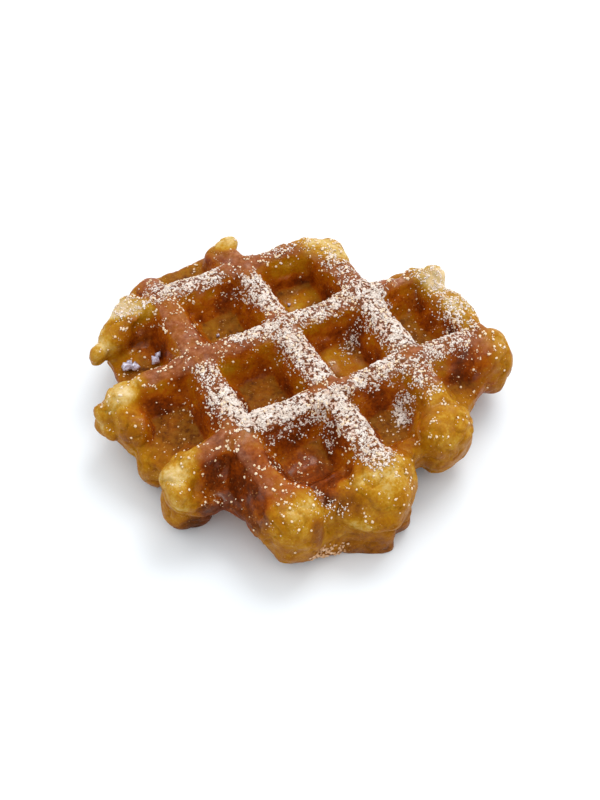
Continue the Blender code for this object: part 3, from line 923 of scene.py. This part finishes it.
def make_waffle():
    """The dressed waffle. Its points, normals, triangles and marks are handed on in millimetres."""
    item = put("waffle_crust", raw_dough())
    fuse(item)
    roughen(item)
    wrinkle(item)
    co, nor = mesh_arrays(item.data)
    marks = bake_marks(co, nor)
    add_marks(item.data, marks)
    tris = tri_arrays(item.data)
    item.data.transform(Matrix.Scale(MM, 4) @ Matrix.Translation((-PLAN_CENTRE[0], -PLAN_CENTRE[1], 0.0)))
    item.data.materials.clear()
    item.data.materials.append(dough_material())
    item.data.shade_smooth()
    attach(item, "root")
    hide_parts("waffle")
    return co, nor, tris, marks


def clusters(place):
    """Above 0 where damp sugar gathers, in worm-like clusters about a millimetre wide."""
    return noise_at(place, 0.95, (5.0, 1.0, 2.0)) + 0.6 * noise_at(place, 3.1, (1.0, 4.0, 2.5))


def mostly_small(low, high, power, count, rng):
    """Radii from low to high, with more small ones the higher the power."""
    return low + (high - low) * rng.random(count) ** power


def fine_sugar(surface, weight, rng):
    """Powdered sugar in the strips, broken up into clusters."""
    place, normal = scatter(*surface, weight, 52000, rng)
    kept = rng.random(len(place)) < smooth(-0.10, 0.06, clusters(place))
    place, normal = place[kept][:FINE_GRAINS], normal[kept][:FINE_GRAINS]
    radius = rng.uniform(*FINE_RADIUS, len(place))
    return grains("sugar_fine", "grain", place, normal, radius, rng)


def clumped_sugar(surface, weight, rng):
    """Coarser clumps in the thick of the strips."""
    place, normal = scatter(*surface, weight, 5200, rng)
    kept = clusters(place) > 0.08
    place, normal = place[kept][:CLUMPS], normal[kept][:CLUMPS]
    radius = mostly_small(*CLUMP_RADIUS, 2.0, len(place), rng)
    return grains("sugar_clumps", "clump", place, normal, radius, rng, flat=0.6)


def loose_sugar(surface, weight, rng):
    """Single grains beside the strips, in loose drifts."""
    place, normal = scatter(*surface, weight, 22000, rng)
    drifts = noise_at(place, 4.5, (6.0, 2.0, 9.0)) + 1.3 * noise_at(place, 1.4, (3.0, 8.0, 1.0))
    kept = rng.random(len(place)) < smooth(0.05, 0.7, drifts)
    place, normal = place[kept][:LOOSE_GRAINS], normal[kept][:LOOSE_GRAINS]
    radius = mostly_small(*LOOSE_RADIUS, 2.2, len(place), rng)
    return grains("sugar_loose", "clump", place, normal, radius, rng, flat=0.55)


def crumbs_at_foot(surface, rng):
    """Crumbs on the foot of the front edge, and a few strays elsewhere."""
    near = smooth(3.6, 1.5, away_from(surface[0], (-20, -57.4, 5.0), (-14.5, -58.6, 3.5))) + 0.0001
    place, normal = scatter(*surface, near, CRUMBS, rng)
    radius = rng.uniform(*CRUMB_RADIUS, CRUMBS)
    return grains("dough_crumbs", "clump", place, normal, radius, rng, flat=0.6)


def melted_pearls_and_glints(rng):
    """The lumps of pearl sugar on the pocket floors, which carry painted glints."""
    place = np.array([p[:3] for p in PEARLS_AND_GLINTS])
    radius = np.array([p[3] for p in PEARLS_AND_GLINTS])
    upright = np.tile((0.0, 0.0, 1.0), (len(place), 1))
    return grains("pearl_sugar_and_glints", "grain", place, upright, radius, rng, jitter=0.3)


def dust_with_sugar(co, nor, tris, marks):
    """All that lies on the dough. The pieces share one run of random numbers, so their order matters."""
    rng = np.random.default_rng(SEED)
    surface = (co, nor, tris)
    facing = smooth(0.15, 0.6, nor[:, 2]) * smooth(11.0, 13.0, co[:, 2])
    sparkle = smooth(7.0, 3.0, away_from(co, (-17, -36, 14), (-12, -42, 14)))
    stray = facing * (0.35 + smooth(20.0, 22.4, co[:, 2]) + sparkle)
    powder = sugar_material("powdered_sugar", 1.0)
    pieces = [
        (fine_sugar(surface, facing * marks["sugar"], rng), powder),
        (clumped_sugar(surface, facing * marks["sugar"] ** 1.5, rng), powder),
        (loose_sugar(surface, stray, rng), sugar_material("melting_sugar", 0.0)),
        (crumbs_at_foot(surface, rng), crumb_material()),
        (melted_pearls_and_glints(rng), pearl_glint_material()),
    ]
    for item, material in pieces:
        item.data.materials.append(material)
        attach(item, "root")


def make_floor():
    """A plain pale floor, a little uneven in tone."""
    bpy.ops.mesh.primitive_plane_add(size=FLOOR_SIZE)
    floor = bpy.context.object
    floor.name = "floor"
    n = Nodes("pale_floor")
    pale = n.ramp(n.noise(300.0), [(0.0, (0.83, 0.88, 0.92, 1.0)), (1.0, (0.85, 0.90, 0.94, 1.0))])
    n.set(Base_Color=pale, Roughness=0.9)
    floor.data.materials.append(n.material)


def aim(item, target):
    """A camera or light turned towards a point."""
    item.rotation_euler = (Vector(target) - item.location).to_track_quat("-Z", "Y").to_euler()


def make_sky():
    """White light from all round, stronger from the back right."""
    world = bpy.data.worlds.new("studio")
    bpy.context.scene.world = world
    world.use_nodes = True
    tree = world.node_tree
    back = tree.nodes["Background"]
    back.inputs["Color"].default_value = (1.0, 1.0, 1.0, 1.0)
    way = tree.nodes.new("ShaderNodeTexCoord")
    toward = tree.nodes.new("ShaderNodeVectorMath")
    toward.operation = "DOT_PRODUCT"
    toward.inputs[1].default_value = SKY_BRIGHT_SIDE
    level = tree.nodes.new("ShaderNodeMapRange")
    ends = {"From Min": -0.5, "From Max": 1.0, "To Min": SKY_STRENGTH[0], "To Max": SKY_STRENGTH[1]}
    for name, number in ends.items():
        level.inputs[name].default_value = number
    tree.links.new(way.outputs["Generated"], toward.inputs[0])
    tree.links.new(toward.outputs["Value"], level.inputs["Value"])
    tree.links.new(level.outputs["Result"], back.inputs["Strength"])


def make_light():
    """One soft lamp high over the back right."""
    lamp = put("key", bpy.data.lights.new("key", "AREA"))
    lamp.data.size = LIGHT_SIZE
    lamp.data.energy = LIGHT_POWER
    lamp.location = LIGHT_PLACE
    aim(lamp, (0.0, 0.0, 0.0))


def make_camera():
    """The photo's view: from the front left, looking down."""
    camera = put("camera", bpy.data.cameras.new("camera"))
    camera.data.lens = CAMERA_LENS
    camera.data.sensor_width = 36.0
    camera.data.clip_start = 0.01
    camera.location = CAMERA_PLACE
    aim(camera, CAMERA_TARGET)
    bpy.context.scene.camera = camera


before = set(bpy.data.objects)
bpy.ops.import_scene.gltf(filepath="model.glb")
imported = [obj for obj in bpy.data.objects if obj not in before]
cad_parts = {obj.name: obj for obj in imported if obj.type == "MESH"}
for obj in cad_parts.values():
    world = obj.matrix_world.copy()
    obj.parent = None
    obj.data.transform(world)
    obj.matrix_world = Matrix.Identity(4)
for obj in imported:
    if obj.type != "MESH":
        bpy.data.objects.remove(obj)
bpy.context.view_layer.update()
dust_with_sugar(*make_waffle())
make_floor()
make_sky()
make_light()
make_camera()
bpy.context.scene.view_settings.view_transform = "Standard"
